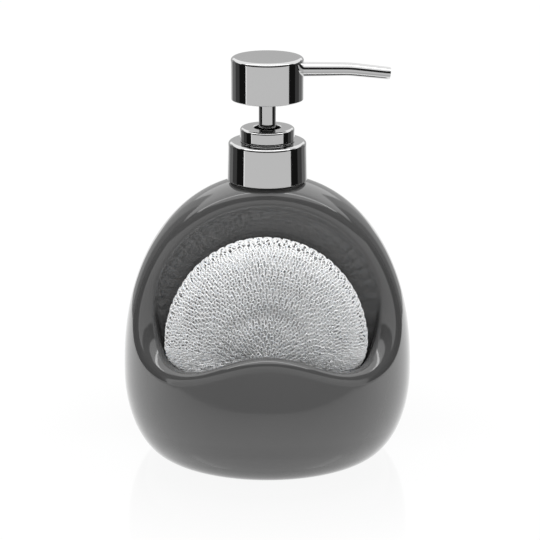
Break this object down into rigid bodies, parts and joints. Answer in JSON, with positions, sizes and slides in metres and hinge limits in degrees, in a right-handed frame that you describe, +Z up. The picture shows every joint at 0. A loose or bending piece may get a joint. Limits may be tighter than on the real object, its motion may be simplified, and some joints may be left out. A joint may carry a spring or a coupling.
{
  "type": "soap pump caddy",
  "caption": "Egg-shaped glazed ceramic soap dispenser with a chrome lotion pump on top and a front niche holding a knitted scrubber.",
  "frame": {"origin": "centre of the foot on the surface it stands on, under the pump axis", "axes": "+Z up along the pump axis; -Y towards the user, the side with the niche; +X along the nozzle as pictured"},
  "size_m": [0.12, 0.102, 0.1682],
  "materials": {
    "glaze": "glossy mid-grey glaze",
    "neck_plastic": "moulded white plastic",
    "gasket_rubber": "soft pale washer",
    "pump_plastic": "natural moulded plastic",
    "ball_steel": "polished steel ball",
    "tube_plastic": "natural extruded plastic",
    "guide_plastic": "black moulded plastic",
    "chrome": "bright chrome plate",
    "liner_plastic": "black moulded plastic",
    "spring_steel": "bright spring wire",
    "core_plastic": "black moulded plastic",
    "net": "pale grey knitted net"
  },
  "bodies": {
    "caddy": {"ceramic_body": "glaze", "neck_insert": "neck_plastic"},
    "seal": {"neck_gasket": "gasket_rubber"},
    "pump": {"pump_cylinder": "pump_plastic", "dip_tube": "tube_plastic", "chaplet": "guide_plastic", "guide_ring": "chrome", "return_spring": "spring_steel"},
    "collar": {"collar_shell": "chrome", "collar_liner": "liner_plastic"},
    "plunger": {"piston": "pump_plastic"},
    "head": {"stem_sleeve": "chrome", "stem_tube": "pump_plastic", "stem_plug": "pump_plastic", "head_shell": "chrome", "head_core": "core_plastic", "nozzle": "chrome"},
    "ball": {"inlet_ball": "ball_steel"},
    "scrubber": {"scrubber": "net"}
  },
  "joints": [
    {"name": "pump_lift", "type": "slide", "parent": "caddy", "child": "seal", "axis": [0, 0, 1], "range_m": [0, 0.125]},
    {"name": "pump_rise", "type": "slide", "parent": "seal", "child": "pump", "axis": [0, 0, 1], "range_m": [0, 0.0064]},
    {"name": "collar_turn", "type": "hinge", "parent": "pump", "child": "collar", "pos_m": [0, 0, 0.125], "axis": [0, 0, 1], "range_deg": [0, 540]},
    {"name": "pump_press", "type": "slide", "parent": "pump", "child": "plunger", "axis": [0, 0, -1], "range_m": [0, 0.011], "stiffness_N_per_m": 700, "springref_m": -0.006, "deforming": ["return_spring"]},
    {"name": "head_swivel", "type": "hinge", "parent": "plunger", "child": "head", "pos_m": [0, 0, 0.16], "axis": [0, 0, 1], "continuous": true},
    {"name": "inlet_ball_lift", "type": "slide", "parent": "pump", "child": "ball", "axis": [0, 0, 1], "range_m": [0, 0.0034]},
    {"name": "scrubber_lift", "type": "slide", "parent": "caddy", "child": "scrubber", "axis": [0, -0.3746, 0.9272], "range_m": [0, 0.045]}
  ],
  "couplings": [
    {"joint": "pump_rise", "follows": "collar_turn", "m_per_rad": 0.00067376}
  ]
}
